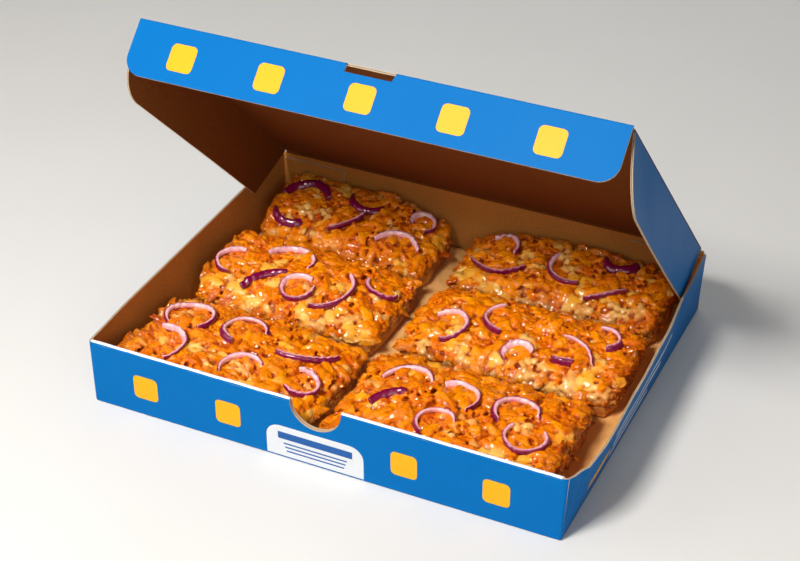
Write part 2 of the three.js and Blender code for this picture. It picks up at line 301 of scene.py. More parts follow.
class Shading:
    """A material's node tree, with short ways to add and join nodes."""

    def __init__(self, name):
        self.material = bpy.data.materials.new(name)
        self.material.use_nodes = True
        self.nodes = self.material.node_tree.nodes
        self.links = self.material.node_tree.links
        self.shader = self.nodes["Principled BSDF"]

    def add(self, kind, **inputs):
        node = self.nodes.new(kind)
        for key, value in inputs.items():
            self.feed(node.inputs[key.replace("_", " ")], value)
        return node

    def feed(self, socket, value):
        if isinstance(value, bpy.types.NodeSocket):
            self.links.new(value, socket)
        elif socket.type == "RGBA":
            socket.default_value = (*value, 1)
        else:
            socket.default_value = value

    def place(self):
        return self.add("ShaderNodeTexCoord").outputs["Object"]

    def attribute(self, name, output="Fac"):
        node = self.nodes.new("ShaderNodeAttribute")
        node.attribute_name = name
        return node.outputs[output]

    def noise(self, scale, detail, roughness=0.5, stretch=None, where=None):
        if where is None:
            where = self.place()
        if stretch:
            where = self.add("ShaderNodeMapping", Vector=where, Scale=stretch).outputs[0]
        node = self.add("ShaderNodeTexNoise", Vector=where, Scale=scale, Detail=detail, Roughness=roughness)
        return node.outputs["Fac"]

    def bands(self, distortion):
        """Soft bands on the board's faces, each about six flutes wide."""
        scale = 0.05 / FLUTE_PITCH
        node = self.add("ShaderNodeTexWave", Vector=self.place(), Scale=scale, Distortion=distortion)
        return node.outputs["Fac"]

    def math(self, operation, first, second):
        node = self.nodes.new("ShaderNodeMath")
        node.operation = operation
        node.use_clamp = True
        self.feed(node.inputs[0], first)
        self.feed(node.inputs[1], second)
        return node.outputs[0]

    def range(self, value, start, end, low=0.0, high=1.0):
        node = self.nodes.new("ShaderNodeMapRange")
        for socket, entry in zip(node.inputs, (value, start, end, low, high)):
            self.feed(socket, entry)
        return node.outputs[0]

    def mix(self, share, first, second):
        node = self.nodes.new("ShaderNodeMix")
        node.data_type = "RGBA"
        self.feed(node.inputs["Factor"], share)
        self.feed(node.inputs[6], first)
        self.feed(node.inputs[7], second)
        return node.outputs[2]

    def stain(self, tone, pattern, start, end, strength, second):
        """The second tone laid over the first where the pattern goes from start to end."""
        return self.mix(self.range(pattern, start, end, 0, strength), tone, second)

    def layers(self, *heights):
        """The sum of two heights, each given with its share."""
        return self.math("ADD", *[self.math("MULTIPLY", height, share) for height, share in heights])

    def bump(self, height, strength, distance=0.2 * MM):
        node = self.add("ShaderNodeBump", Height=height, Strength=strength, Distance=distance)
        self.links.new(node.outputs[0], self.shader.inputs["Normal"])

    def set(self, **inputs):
        for key, value in inputs.items():
            self.feed(self.shader.inputs[key.replace("_", " ")], value)
        return self.material


def floor_finish():
    shading = Shading("pale_floor")
    tone = shading.mix(shading.noise(9, 4), (0.70, 0.69, 0.67), (0.74, 0.73, 0.71))
    return shading.set(Base_Color=tone, Roughness=0.75)


def print_finish(name, tone, deep):
    """Ink on the board's outside, which is softly banded."""
    shading = Shading(name)
    patch = shading.noise(14, 3)
    fibre = shading.noise(900, 2, 0.6, (1, 1, 0.15))
    ink = shading.mix(shading.math("MULTIPLY", patch, fibre), tone, deep)
    shading.bump(shading.layers((shading.bands(0.4), 0.55), (fibre, 0.4)), 0.22)
    gloss = shading.range(patch, 0.2, 0.8, 0.36, 0.5)
    return shading.set(Base_Color=ink, Roughness=gloss, Specular_IOR_Level=0.04)


def kraft_finish(name, light, dark):
    """Bare brown board: short fibres, soft blotches and soft bands."""
    shading = Shading(name)
    fibre = shading.noise(1400, 3, 0.65, (1, 0.2, 1))
    tone = shading.mix(shading.range(fibre, 0.3, 0.7), light, dark)
    tone = shading.stain(tone, shading.noise(18, 4), 0.35, 0.75, 0.45, dark)
    shading.bump(shading.layers((shading.bands(0.5), 0.5), (fibre, 0.5)), 0.25)
    return shading.set(Base_Color=tone, Roughness=0.85, Specular_IOR_Level=0.2)


def raw_edge_finish():
    """The cut edge of the board."""
    shading = Shading("raw_edge")
    tone = shading.mix(shading.noise(1800, 3, 0.7), (0.80, 0.66, 0.48), (0.42, 0.27, 0.14))
    return shading.set(Base_Color=tone, Roughness=0.9)


def worn_fold_finish():
    """Ink cracked along a fold, with the white paper showing."""
    shading = Shading("worn_fold")
    crack = shading.noise(500, 4, 0.7, (0.35, 1, 1))
    tone = shading.mix(shading.range(crack, 0.58, 0.66), (0.83, 0.87, 0.9), (0.25, 0.45, 0.75))
    shading.bump(crack, 0.3)
    return shading.set(Base_Color=tone, Roughness=0.6)


def paper_finish():
    """Thin brown wrapping paper with spots of grease."""
    shading = Shading("brown_paper")
    fibre = shading.noise(1100, 3, 0.6)
    grease = shading.noise(26, 5, 0.6)
    tone = shading.mix(fibre, (0.90, 0.51, 0.18), (0.78, 0.39, 0.12))
    tone = shading.stain(tone, grease, 0.5, 0.68, 0.75, (0.62, 0.27, 0.05))
    shading.bump(fibre, 0.15)
    gloss = shading.range(grease, 0.5, 0.68, 0.6, 0.38)
    return shading.set(Base_Color=tone, Roughness=gloss)


def topping_finish():
    """Chicken in orange sauce, melted cheese and browned edges, told apart by attributes, with painted
    shade in the hollows.
    """
    shading = Shading("chicken_and_cheese")
    bright = shading.attribute("bright")
    grain = shading.noise(420, 4, 0.6)
    patch = shading.noise(70, 4, 0.6)
    fibres = shading.noise(1, 3, stretch=(160, 900, 900), where=shading.attribute("grain", "Vector"))
    chicken = shading.mix(bright, (0.66, 0.08, 0.0003), (1.0, 0.31, 0.001))
    chicken = shading.stain(chicken, patch, 0.45, 0.72, 0.5, (0.70, 0.12, 0.002))
    chicken = shading.stain(chicken, fibres, 0.5, 0.72, 0.5, (1.0, 0.42, 0.008))
    chicken = shading.stain(chicken, fibres, 0.5, 0.3, 0.4, (0.50, 0.075, 0.004))
    melted = shading.mix(bright, (0.90, 0.38, 0.02), (0.98, 0.64, 0.17))
    melted = shading.stain(melted, patch, 0.40, 0.62, 0.9, (0.97, 0.38, 0.008))
    bead = shading.mix(bright, (0.70, 0.20, 0.015), (0.98, 0.62, 0.18))
    bead = shading.stain(bead, patch, 0.5, 0.7, 0.6, (0.70, 0.13, 0.01))
    cheese = shading.mix(shading.attribute("bead"), melted, bead)
    tone = shading.mix(shading.attribute("cheese"), chicken, cheese)
    # Painted shade: dark red-brown laid into the broad hollows and the narrow crevices between the bits,
    # where shade falls.
    tone = shading.stain(tone, shading.attribute("painted_valley_shade"), 0.08, 0.65, 0.7, (0.44, 0.05, 0.001))
    tone = shading.stain(tone, shading.attribute("painted_crevice_shade"), 0.14, 0.7, 0.9, (0.23, 0.018, 0.0005))
    browned = shading.math("MULTIPLY", shading.attribute("toast"), shading.range(grain, 0.3, 0.55))
    tone = shading.mix(browned, tone, (0.22, 0.035, 0.002))
    shading.bump(shading.layers((grain, 0.5), (fibres, 0.5)), 0.6, 1.0 * MM)
    gloss = shading.range(grain, 0.35, 0.65, 0.1, 0.3)
    return shading.set(
        Base_Color=tone, Roughness=gloss, Specular_IOR_Level=0.1,
        Coat_Weight=0.8, Coat_Roughness=0.03,
        Subsurface_Weight=0.05, Subsurface_Radius=(1.0, 0.35, 0.1), Subsurface_Scale=1.5 * MM,
    )


def crust_finish():
    """Baked dough: golden, with darker brown patches and specks."""
    shading = Shading("baked_dough")
    grain = shading.noise(320, 4, 0.6)
    patch = shading.range(shading.noise(60, 4, 0.6), 0.35, 0.65)
    tone = shading.mix(patch, (0.66, 0.26, 0.03), (0.30, 0.06, 0.005))
    tone = shading.stain(tone, grain, 0.55, 0.72, 0.8, (0.16, 0.045, 0.01))
    shading.bump(grain, 0.5, 0.8 * MM)
    return shading.set(Base_Color=tone, Roughness=0.6)


def onion_finish():
    """Purple skin outside, pale pink flesh where it is cut."""
    shading = Shading("red_onion")
    streak = shading.noise(260, 3, 0.6)
    pale = shading.mix(shading.range(streak, 0.35, 0.7), (0.96, 0.66, 0.66), (0.85, 0.34, 0.42))
    flesh = shading.stain(pale, shading.attribute("depth"), 0.35, 0.95, 1, (0.62, 0.06, 0.21))
    purple = shading.mix(streak, (0.27, 0.0015, 0.065), (0.10, 0.0004, 0.022))
    tone = shading.mix(shading.attribute("skin"), flesh, purple)
    shading.bump(streak, 0.12, 0.3 * MM)
    return shading.set(
        Base_Color=tone, Roughness=0.2, Coat_Weight=0.5, Coat_Roughness=0.08,
        Subsurface_Weight=0.1, Subsurface_Radius=(1.0, 0.3, 0.4), Subsurface_Scale=1.5 * MM,
    )


def ink_finish(name, tone, deep):
    shading = Shading(name)
    speckle = shading.noise(600, 3, 0.6)
    return shading.set(Base_Color=shading.mix(speckle, tone, deep), Roughness=0.45, Specular_IOR_Level=0.22)


# ---------- Cutting board ----------

PRINT, KRAFT, RAW, WORN = range(4)      # the board's finishes, in order


def arc_points(centre, radius, start, end, steps):
    turns = (math.radians(start + (end - start) * i / steps) for i in range(steps + 1))
    return [(centre[0] + radius * math.cos(t), centre[1] + radius * math.sin(t)) for t in turns]


def rectangle(left, low, right, high):
    return [(left, low), (right, low), (right, high), (left, high)]


def cut_sheet(outline, cuts=()):
    """A flat sheet of this outline, creased into strips so that it can curve."""
    bm = bmesh.new()
    bm.faces.new([bm.verts.new((u, v, 0)) for u, v in outline])
    for cut in cuts:
        geometry = bm.verts[:] + bm.edges[:] + bm.faces[:]
        bmesh.ops.bisect_plane(bm, geom=geometry, dist=1e-7, plane_co=(cut, 0, 0), plane_no=(1, 0, 0))
    bm.normal_update()
    if sum(face.normal.z for face in bm.faces) < 0:
        bmesh.ops.reverse_faces(bm, faces=bm.faces[:])
    return bm


def thicken(bm, top, depth, face_finish, back_finish, rim_finish):
    """Gives a flat sheet its thickness, down from top, and each side its own finish."""
    bmesh.ops.translate(bm, vec=(0, 0, top), verts=bm.verts[:])
    extrude(bm, bm.faces[:], (0, 0, -depth))
    bmesh.ops.recalc_face_normals(bm, faces=bm.faces[:])
    for face in bm.faces:
        if face.normal.z > 0.5:
            face.material_index = face_finish
        elif face.normal.z < -0.5:
            face.material_index = back_finish
        else:
            face.material_index = rim_finish
    return bm


def flute_ribbon(outline, material):
    """The wavy paper between the liners, as it shows along a raw edge."""
    bm = bmesh.new()
    wave = (BOARD - 2 * LINER_SHEET) / 2
    half_paper = FLUTE_SHEET / 2
    points = [Vector(point) for point in outline]
    points.append(points[0])
    area = sum(a.x * b.y - b.x * a.y for a, b in zip(points, points[1:]))
    inward = 1 if area > 0 else -1
    run = 0.0
    previous = None
    for start, end in zip(points, points[1:]):
        span = end - start
        if span.length < 1e-6:
            continue
        heading = span.normalized()
        inside = Vector((-heading.y, heading.x)) * inward
        steps = max(1, round(span.length / FLUTE_PITCH * 6))
        for i in range(steps + 1):
            share = i / steps
            if previous and i == 0:
                continue
            near = start + span * share + inside * 0.15 * MM
            deep = near + inside * FLUTE_REACH
            turn = 2 * math.pi * (run + span.length * share) / FLUTE_PITCH
            middle = -BOARD / 2 + (wave - half_paper) * math.sin(turn)
            ring = [
                bm.verts.new((point.x, point.y, middle + side * half_paper))
                for point, side in ((near, 1), (deep, 1), (deep, -1), (near, -1))
            ]
            if previous:
                for a in range(4):
                    b = (a + 1) % 4
                    bm.faces.new((previous[a], previous[b], ring[b], ring[a])).material_index = material
            else:
                bm.faces.new(ring).material_index = material
            previous = ring
        run += span.length
    bm.faces.new(previous).material_index = material
    bmesh.ops.recalc_face_normals(bm, faces=bm.faces[:])
    return bm


def gather(target, part, place=None):
    """Adds a part to the target mesh; place moves each point of a flat part to where it goes."""
    if place:
        for vert in part.verts:
            vert.co = place(*vert.co)
        bmesh.ops.recalc_face_normals(part, faces=part.faces[:])
    mesh = bpy.data.meshes.new("part")
    part.to_mesh(mesh)
    part.free()
    target.from_mesh(mesh)
    bpy.data.meshes.remove(mesh)


def add_board(target, outline, place, cuts=(), face=PRINT):
    """Corrugated board: two liners, with the fluting showing between them at the edges."""
    for top, finishes in ((0, (face, RAW, RAW)), (LINER_SHEET - BOARD, (RAW, KRAFT, RAW))):
        liner = thicken(cut_sheet(outline, cuts), top, LINER_SHEET, *finishes)
        gather(target, liner, place)
    gather(target, flute_ribbon(outline, RAW), place)


def evenly(start, end, count):
    return [start + (end - start) * i / count for i in range(count + 1)]


# ---------- The box ----------

def lean_at(stations, along):
    """How far the top of a bowed wall leans out at this share of the way back."""
    for (start, first), (end, last) in zip(stations, stations[1:]):
        if along <= end:
            share = (along - start) / (end - start)
            share = share * share * (3 - 2 * share)
            return (first + (last - first) * max(0.0, share)) * MM
    return stations[-1][1] * MM


def side_wall_place(side, stations):
    """u runs back along the wall, v up it; depth is into the board from its outer face."""
    length = BOX_BACK - BOX_FRONT

    def place(u, v, depth):
        out = lean_at(stations, u / length) * v / WALL_TOP
        return Vector((side * (HALF_WIDTH + out + depth), BOX_FRONT + u, v))
    return place


def front_wall_place(u, v, depth):
    return Vector((u, BOX_FRONT - depth, v))


def back_wall_place(u, v, depth):
    return Vector((-u, BOX_BACK + depth, v))


def notched_wall(top, low, half):
    """The front wall's outline, with the half-round thumb notch in its top edge."""
    radius = NOTCH_WIDTH / 2
    centre = WALL_TOP - NOTCH_DEPTH + radius
    angle = math.degrees(math.asin(min(1.0, (top - centre) / radius)))
    outline = [(-half, low), (half, low), (half, top)]
    outline += arc_points((0, centre), radius, angle, -180 - angle, 28)
    return outline + [(-half, top)]


def sweep(section, travel, steps=1):
    """A bar made by drawing a closed section along a straight way."""
    bm = bmesh.new()
    made = [bm.faces.new([bm.verts.new(point) for point in section])]
    for _ in range(steps):
        made = extrude(bm, made, Vector(travel) / steps, keep=len(bm.faces) == 1)
    bmesh.ops.recalc_face_normals(bm, faces=bm.faces[:])
    return bm


def add_rolled_fold(target, side):
    """The half-round fold along the top of the front wall, from the notch out to one end."""
    roll = ROLLED_WALL / 2
    start = side * NOTCH_WIDTH / 2
    length = side * (HALF_WIDTH - 0.8 * MM) - start
    section = []
    hollow = roll - BOARD + 0.1 * MM
    for radius, start_turn, end_turn in ((roll, 0, math.pi), (hollow, math.pi, 0)):
        for turn in evenly(start_turn, end_turn, 10):
            y = BOX_FRONT + roll - radius * math.cos(turn)
            z = WALL_TOP - roll + radius * math.sin(turn)
            section.append((start, y, z))
    bm = sweep(section, (length, 0, 0), 40)
    for face in bm.faces:
        middle = face.calc_center_median()
        high = middle.z - (WALL_TOP - roll)
        front = BOX_FRONT + roll - middle.y
        if abs(face.normal.x) > 0.9:
            face.material_index = RAW
        elif high > roll * 0.62 and front > -roll * 0.6:
            face.material_index = WORN
        elif front > 0:
            face.material_index = PRINT
        else:
            face.material_index = KRAFT
    for vert in bm.verts:
        vert.co.z += 0.25 * MM * noise.noise(Vector((vert.co.x * 60, 3, 0)))
    gather(target, bm)


def add_crease(target, corner, first, second, travel, steps=1):
    """The outside of a fold, round the corner from the first panel's face to the second's."""
    corner, first, second = Vector(corner), Vector(first), Vector(second)
    middle = corner - (first + second) * FOLD_ROUND
    turns = evenly(0, math.pi / 2, 6)
    section = [middle + FOLD_ROUND * (first * math.cos(t) + second * math.sin(t)) for t in turns]
    for near, far in ((first, second), (second, first)):
        section.append(middle - near * 0.45 * MM + far * 0.4 * MM)
    bm = sweep(section, travel, steps)
    for face in bm.faces:
        outside = (face.calc_center_median() - middle).dot(first + second) > 0.55 * MM
        face.material_index = PRINT if outside else KRAFT
    gather(target, bm)


def corner_place(side, front):
    """The round upright corner from a side wall to the front wall, or to the tab at the back."""
    radius = CORNER_ROUND
    stations = RIGHT_LEAN if side > 0 else LEFT_LEAN
    edge = BOX_FRONT if front else TAB_FACE
    inward = 1 if front else -1

    def place(u, v, depth):
        lean = lean_at(stations, 0 if front else 1) * v / WALL_TOP
        turn = u / radius
        x = HALF_WIDTH - radius + (radius + lean) * math.sin(turn) + depth * math.sin(turn)
        y = edge + inward * (radius - (radius + depth) * math.cos(turn))
        return Vector((side * x, y, v))
    return place


def make_tray(finishes):
    bm = bmesh.new()
    turn, low = CORNER_ROUND, FOLD_ROUND
    length = BOX_BACK - BOX_FRONT
    half, front, back = HALF_WIDTH - FOLD_ROUND, BOX_FRONT + FOLD_ROUND, BOX_BACK - FOLD_ROUND
    add_board(bm, rectangle(-half, front, half, back), lambda u, v, depth: Vector((-u, v, -depth)))

    side = rectangle(turn, low, length - BOARD - turn, WALL_TOP)
    for way, stations in ((-1, LEFT_LEAN), (1, RIGHT_LEAN)):
        add_board(bm, side, side_wall_place(way, stations), evenly(0, length, SIDE_WALL_CUTS)[1:-1])
        for at_front in (True, False):
            reach = turn * math.pi / 2
            top = WALL_TOP if at_front else GLUE_TAB_HEIGHT
            bent = rectangle(0, low, reach, top)
            add_board(bm, bent, corner_place(way, at_front), evenly(0, reach, 6)[1:-1])

    fold = WALL_TOP - ROLLED_WALL / 2
    add_board(bm, notched_wall(fold, low, HALF_WIDTH - turn), front_wall_place)
    inner = notched_wall(fold, BOARD, HALF_WIDTH - 2 * MM)
    add_board(bm, inner, lambda u, v, depth: Vector((-u, BOX_FRONT + ROLLED_WALL + depth, v)), face=KRAFT)
    for way in (-1, 1):
        add_rolled_fold(bm, way)

    add_board(bm, rectangle(-HALF_WIDTH, low, HALF_WIDTH, WALL_TOP), back_wall_place)
    for way in (-1, 1):
        add_glue_tab(bm, way)
        travel = (0, length - 2 * MM, 0)
        add_crease(bm, (way * HALF_WIDTH, BOX_FRONT + MM, 0), (way, 0, 0), (0, 0, -1), travel)
        edge = BOX_FRONT if way < 0 else BOX_BACK
        travel = (2 * HALF_WIDTH - 2 * MM, 0, 0)
        add_crease(bm, (MM - HALF_WIDTH, edge, 0), (0, way, 0), (0, 0, -1), travel)
    finish_board("tray", bm, finishes)


def add_glue_tab(target, side):
    """The side wall's end, glued inside the back wall and bowing a little off it."""
    near, far = HALF_WIDTH - CORNER_ROUND, HALF_WIDTH - GLUE_TAB
    tab = [(near, BOARD), (near, GLUE_TAB_HEIGHT), (far, GLUE_TAB_HEIGHT), (far + 4 * MM, BOARD)]
    cuts = evenly(far, near, 8)[1:-1]

    def place(u, v, depth):
        share = (near - u) / (near - far)
        return Vector((side * u, TAB_FACE - 0.5 * MM * share ** 3 + depth, v))
    add_board(target, tab, place, cuts)


def lid_place(u, v, depth):
    """u across, v from the hinge towards the front, depth into the board from its outside."""
    return lid_point(u, v, BOARD / 2 + depth)


def lid_point(x, v, h):
    """A point given in the shut lid's own directions, h above the middle of its board."""
    return HINGE + Vector((x, 0, 0)) + LID_ALONG * v + LID_UP * h


def front_flap_place(u, v, depth):
    return lid_point(u, LID_LENGTH + depth, -v)


def front_flap_outline():
    half, low, corner = LID_HALF, FRONT_FLAP, FRONT_FLAP_CORNER
    top = FOLD_ROUND - BOARD / 2
    slot = BOARD / 2 + SLOT_HEIGHT
    outline = [(half, top), (SLOT_RIGHT, top), (SLOT_RIGHT - 1.5 * MM, slot), (SLOT_LEFT, slot)]
    outline += [(SLOT_LEFT, top), (-half, top)]
    outline += arc_points((corner - half, low - corner), corner, 180, 90, 12)
    return outline + arc_points((half - corner, low - corner), corner, 90, 0, 12)


def side_flap_outline():
    """v down the flap, u along the lid from the hinge."""
    rear = SIDE_FLAP_START + SIDE_FLAP * math.tan(SIDE_FLAP_RAKE)
    centre = SIDE_FLAP_END - SIDE_FLAP_CORNER
    top = BOARD / 2 + FLAP_ROOT_GAP
    outline = [(SIDE_FLAP_START, top), (rear, SIDE_FLAP)]
    outline += arc_points((centre, SIDE_FLAP - SIDE_FLAP_CORNER), SIDE_FLAP_CORNER, 90, 0, 24)
    return outline + [(SIDE_FLAP_END, top)]


def side_flap_place(side, splay):
    def place(u, v, depth):
        share = (u / SIDE_FLAP_END) ** 2
        turn = math.radians(splay[0] + (splay[1] - splay[0]) * share)
        x = LID_HALF + depth * math.cos(turn) + v * math.sin(turn)
        return lid_point(side * x, u, depth * math.sin(turn) - v * math.cos(turn))
    return place


def make_lid(finishes):
    bm = bmesh.new()
    half = LID_HALF - FOLD_ROUND
    start, end = 1.2 * MM, LID_LENGTH - FOLD_ROUND
    top = [(-half, start), (half, start), (half, end), (SLOT_RIGHT, end), (SLOT_RIGHT, end - 0.6 * MM)]
    top += [(SLOT_LEFT, end - 0.6 * MM), (SLOT_LEFT, end), (-half, end)]
    add_board(bm, top, lid_place)
    add_board(bm, front_flap_outline(), front_flap_place)
    for begin, finish in ((-LID_HALF, SLOT_LEFT), (SLOT_RIGHT, LID_HALF)):
        corner = lid_point(begin, LID_LENGTH, BOARD / 2)
        add_crease(bm, corner, LID_UP, LID_ALONG, (finish - begin, 0, 0))
    finish_board("lid", bm, finishes)


def make_hinge_fold(finishes):
    """The crease between the back wall and the lid."""
    foot = Vector((0, BOX_BACK - BOARD / 2, WALL_TOP - 0.3 * MM))
    head = lid_point(0, 1.5 * MM, 0)
    knee = Vector((0, BOX_BACK - BOARD / 2, HINGE.z))
    outer, inner = [], []
    for share in evenly(0, 1, 8):
        middle = foot * (1 - share) ** 2 + knee * 2 * share * (1 - share) + head * share ** 2
        turn = share * (math.pi / 2 - LID_OPEN)
        out = Vector((0, math.cos(turn), math.sin(turn)))
        outer.append(middle + out * BOARD / 2)
        inner.append(middle - out * BOARD / 2)
    side = Vector((0.4 * MM - LID_HALF, 0, 0))
    bm = sweep([point + side for point in outer + inner[::-1]], (-2 * side.x, 0, 0), 12)
    for face in bm.faces:
        if abs(face.normal.x) > 0.9:
            face.material_index = RAW
        elif face.normal.y > 0:
            face.material_index = PRINT
        else:
            face.material_index = KRAFT
    finish_strip("hinge", bm, finishes)


def make_flap_crease(name, side, finishes):
    """The crease between the lid and one side flap."""
    bm = bmesh.new()
    corner = lid_point(side * LID_HALF, SIDE_FLAP_START, BOARD / 2)
    add_crease(bm, corner, LID_UP, (side, 0, 0), LID_ALONG * (SIDE_FLAP_END - SIDE_FLAP_START), 12)
    finish_strip(name, bm, finishes)


def make_side_flap(name, side, splay, finishes):
    bm = bmesh.new()
    cuts = evenly(SIDE_FLAP_START, SIDE_FLAP_END, 40)[1:-1]
    add_board(bm, side_flap_outline(), side_flap_place(side, splay), cuts)
    finish_board(name, bm, finishes)


# ---------- Print ----------

def rounded_square(centre, size, corner):
    u, v = centre
    half = size / 2 - corner
    outline = []
    for du, dv, start in ((1, 1, 0), (-1, 1, 90), (-1, -1, 180), (1, -1, 270)):
        outline += arc_points((u + du * half, v + dv * half), corner, start, start + 90, 5)
    return outline


def bar(left, low, width, height):
    """A printed bar, in millimetres."""
    return rectangle(left * MM, low * MM, (left + width) * MM, (low + height) * MM)


def make_print(name, body, outlines, place, finish, lift=INK, cuts=()):
    """Flat fields of ink, lying on the board's outside and cut where a bowed board is cut."""
    bm = bmesh.new()
    for outline in outlines:
        gather(bm, thicken(cut_sheet(outline, cuts), lift, lift * 1.5, 0, 0, 0), place)
    finish_piece(mesh_object(name, bm, [finish]), body, "board")


def add_print(yellow, white, blue):
    for name, body, place, height, middles in (
        ("lid_marks", "lid", front_flap_place, 20, (-129.5, -66.5, -3, 59.5, 122.5)),
        ("front_marks", "tray", front_wall_place, 23, (-128, -65, 62.5, 126)),
    ):
        marks = [rounded_square((u * MM, height * MM), MARK_SIZE, MARK_CORNER) for u in middles]
        make_print(name, body, marks, place, yellow)
    left, right, top, corner = -36.5 * MM, 34 * MM, 26 * MM, 10 * MM
    panel = [(left, 1.5 * MM), (right, 1.5 * MM)]
    panel += arc_points((right - corner, top - corner), corner, 0, 90, 10)
    panel += arc_points((left + corner, top - corner), corner, 90, 180, 10)
    make_print("label_panel", "tray", [panel], front_wall_place, white)
    lines = [bar(-28, 15.5, 54, 5.5)] + [bar(-24 + i, 11.5 - 3 * i, 46 - 2 * i, 1.1) for i in range(3)]
    make_print("label_bars", "tray", lines, front_wall_place, blue, lift=2 * INK)
    right_wall = side_wall_place(1, RIGHT_LEAN)
    cuts = evenly(0, BOX_BACK - BOX_FRONT, SIDE_WALL_CUTS)[1:-1]
    make_print("side_bars_yellow", "tray", [bar(30, 17, 40, 9)], right_wall, yellow, cuts=cuts)
    stripes = [bar(78, 28 - 9 * i, 120 - 22 * i, 3.5) for i in range(3)]
    make_print("side_bars_white", "tray", stripes, right_wall, white, cuts=cuts)


# ---------- Paper ----------

def make_paper(finish):
    """Brown paper, smooth under the slices and creased where it is bare."""
    low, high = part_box("paper_liner")
    bm = bmesh.new()
    bmesh.ops.create_grid(bm, x_segments=150, y_segments=124, size=0.5)
    size, middle = high - low, (low + high) / 2
    for vert in bm.verts:
        x = middle.x + vert.co.x * size.x
        y = middle.y + vert.co.y * size.y
        place = Vector((x, y, 0))
        soft = noise.noise(place * 38) + 0.6 * noise.noise(place * 90 + Vector((7, 0, 0)))
        crease = 1 - abs(noise.noise(place * 55 + Vector((0, 4, 0)))) * 5
        rise = max(0.0, 0.5 + 0.9 * soft) + 0.8 * max(0.0, crease)
        edge = edge_distance(x, y, low, high)
        curl = max(0.0, 1 - edge / (5 * MM)) ** 2 * (1.2 + noise.noise(place * 25)) * 2
        lift = min(PAPER_RISE, (rise * bareness(x, y) + curl) * MM)
        vert.co = Vector((x, y, low.z + lift))
    extrude(bm, bm.faces[:], (0, 0, PAPER_SHEET))
    bmesh.ops.recalc_face_normals(bm, faces=bm.faces[:])
    piece = mesh_object("brown_paper", bm, [finish], smooth=True)
    finish_piece(piece, "tray", "paper", "paper_liner")


def bareness(x, y):
    """1 on open paper, falling to 0 under a slice."""
    clear = 1.0
    for low, high in SLICE_BOXES.values():
        outside = max(low.x - x, x - high.x, low.y - y, y - high.y)
        clear = min(clear, max(0.0, outside / (4 * MM)))
    return clear


# ---------- Onion ----------

def cad_surface(node):
    """The node's own surface, for finding what lies where on it."""
    bm = bmesh.new()
    bm.from_mesh(frame["nodes"][node].data)
    bmesh.ops.remove_doubles(bm, verts=bm.verts[:], dist=1e-6)
    return bm


def level_finder(node):
    """Gives a function that tells how high the node's surface lies, at a place seen from above."""
    bm = cad_surface(node)
    lookup = KDTree(len(bm.verts))
    for vert in bm.verts:
        lookup.insert((vert.co.x, vert.co.y, 0), vert.index)
    bm.verts.ensure_lookup_table()
    levels = [vert.co.z for vert in bm.verts]
    lookup.balance()
    bm.free()

    def level_at(place):
        found = [levels[index] for _, index, _ in lookup.find_n((place.x, place.y, 0), 8)]
        return sum(found) / len(found)
    return level_at


def make_onion(name, number, arc, finish):
    """One curl: a strip of onion standing on edge, spun round its arc and thinner at its ends."""
    random.seed(f"{name} {number}")
    node = f"onion_{name}_{number}"
    level_at = level_finder(node)
    x, y, radius, start, end = arc
    centre = Vector((x * MM - HALF_WIDTH, y * MM + BOX_FRONT, 0))
    radius *= MM
    turn = math.radians(end - start)
    steps = max(14, round(radius * abs(turn) / (1.1 * MM)))
    half_width, half_height = random.uniform(1.4, 2.3) * MM, random.uniform(1.9, 2.6) * MM
    curl = bmesh.new()
    ring = bmesh.ops.create_circle(curl, segments=16, radius=1)["verts"]
    begin = math.radians(start)
    for vert in ring:
        across, up = (math.copysign(abs(value) ** 0.62, value) for value in vert.co.xy)
        across, up = across * half_width, up * half_height
        reach = radius + across
        vert.co = centre + Vector((reach * math.cos(begin), reach * math.sin(begin), up))
    bmesh.ops.spin(
        curl, geom=curl.verts[:] + curl.edges[:], cent=centre, axis=(0, 0, 1),
        angle=turn, steps=steps, use_duplicate=False,
    )
    bmesh.ops.holes_fill(curl, edges=[edge for edge in curl.edges if edge.is_boundary])
    skin, depth = [], []
    skin_up = (name, number) in SKIN_UP
    skin_from = -2 if skin_up else random.uniform(0.3, 0.6)
    far = math.copysign(1, math.sin(math.radians((start + end) / 2)))
    lean = 0.6 * far if skin_up else random.uniform(-0.5, 0.35)
    for vert in curl.verts:
        flat = Vector((vert.co.x - centre.x, vert.co.y - centre.y, 0))
        heading = math.atan2(flat.y, flat.x)
        share = ((heading - begin) * (1 if turn > 0 else -1)) % (2 * math.pi)
        if share > abs(turn) + 0.4:
            share -= 2 * math.pi
        share = clamped(share / abs(turn))
        outward = flat.normalized()
        across = flat.length - radius
        up = vert.co.z
        taper = 0.55 + 0.45 * min(1.0, min(share, 1 - share) * 7)
        thick = 0.85 + 0.3 * noise.noise(Vector((share * 3, number, x)))
        near = centre + outward * radius
        wave = 0.5 * MM * noise.noise(Vector((share * 4 + x, y, 0)))
        swell = 0.25 * MM * math.cos(up / half_height * 1.4)
        lifted = up * (0.75 + 0.25 * taper)
        away = across * taper * thick + (swell if across > 0 else -swell) + lean * up + wave
        vert.co = near + outward * away + Vector((0, 0, level_at(near) + lifted - 0.9 * MM))
        skin.append(clamped((across / half_width - skin_from) * 6))
        depth.append(clamped(0.5 + across / half_width * 0.5))
    bmesh.ops.recalc_face_normals(curl, faces=curl.faces[:])
    piece = mesh_object(f"onion_curl_{name}_{number}", curl, [finish], smooth=True)
    add_attribute(piece.data, "skin", skin)
    add_attribute(piece.data, "depth", depth)
    finish_piece(piece, "tray", "onion", node)


def onion_line(arc):
    """Places along the middle of a curl, seen from above."""
    x, y, radius, start, end = arc
    count = max(4, round(abs(math.radians(end - start)) * radius / 2))
    return arc_points((x * MM - HALF_WIDTH, y * MM + BOX_FRONT), radius * MM, start, end, count)


# ---------- Crust and topping ----------

